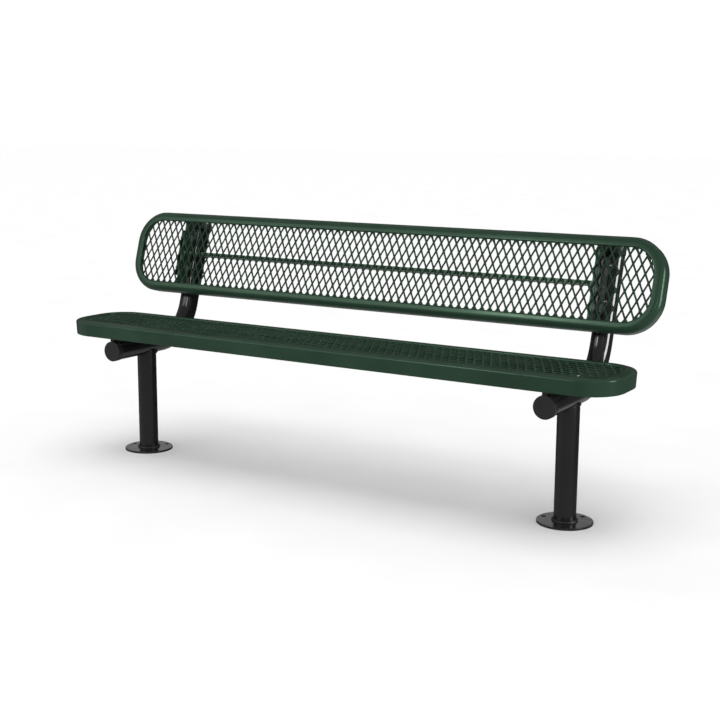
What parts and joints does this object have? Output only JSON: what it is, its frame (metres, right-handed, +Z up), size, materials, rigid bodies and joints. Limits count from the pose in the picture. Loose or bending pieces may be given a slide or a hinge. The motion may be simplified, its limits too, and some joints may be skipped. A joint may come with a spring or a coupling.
{
  "type": "park bench",
  "caption": "Park bench with backrest: coated expanded-metal seat and back planks on bent-tube pedestal legs with round floor flanges.",
  "frame": {"origin": "centre of the bench's bounding box, on the floor", "axes": "+X along the bench, +Y towards the backrest, +Z up"},
  "size_m": [1.829, 0.5101, 0.7529],
  "materials": {
    "coated_rim": "thick semi-gloss thermoplastic coating, dark green",
    "coated_mesh": "thick semi-gloss thermoplastic coating, dark green",
    "coated_bar": "thick semi-gloss thermoplastic coating, dark green",
    "tube": "gloss black powder coat",
    "flange": "gloss black powder coat",
    "bracket": "gloss black powder coat",
    "weld": "gloss black powder coat over weld bead",
    "end_cap": "satin black powder coat",
    "fastener": "zinc-plated, satin"
  },
  "bodies": {
    "root": {"arm_left": "tube", "arm_right": "tube", "back_bolts_left": "fastener", "back_bolts_right": "fastener", "back_mesh": "coated_mesh", "back_nuts_left": "fastener", "back_nuts_right": "fastener", "back_plate_left": "bracket", "back_plate_right": "bracket", "back_plate_welds_left": "weld", "back_plate_welds_right": "weld", "back_rib_left": "coated_bar", "back_rib_right": "coated_bar", "back_rim": "coated_rim", "back_spine": "coated_bar", "back_washers_left": "fastener", "back_washers_right": "fastener", "base_weld_left": "weld", "base_weld_right": "weld", "flange_left": "flange", "flange_right": "flange", "front_cap_left": "end_cap", "front_cap_right": "end_cap", "leg_left": "tube", "leg_right": "tube", "saddle_weld_left": "weld", "saddle_weld_right": "weld", "seat_bolts_left": "fastener", "seat_bolts_right": "fastener", "seat_mesh": "coated_mesh", "seat_nuts_left": "fastener", "seat_nuts_right": "fastener", "seat_plate_left": "bracket", "seat_plate_right": "bracket", "seat_plate_welds_left": "weld", "seat_plate_welds_right": "weld", "seat_rib_left": "coated_bar", "seat_rib_right": "coated_bar", "seat_rim": "coated_rim", "seat_spine": "coated_bar", "seat_washers_left": "fastener", "seat_washers_right": "fastener", "top_cap_left": "end_cap", "top_cap_right": "end_cap"}
  },
  "joints": []
}
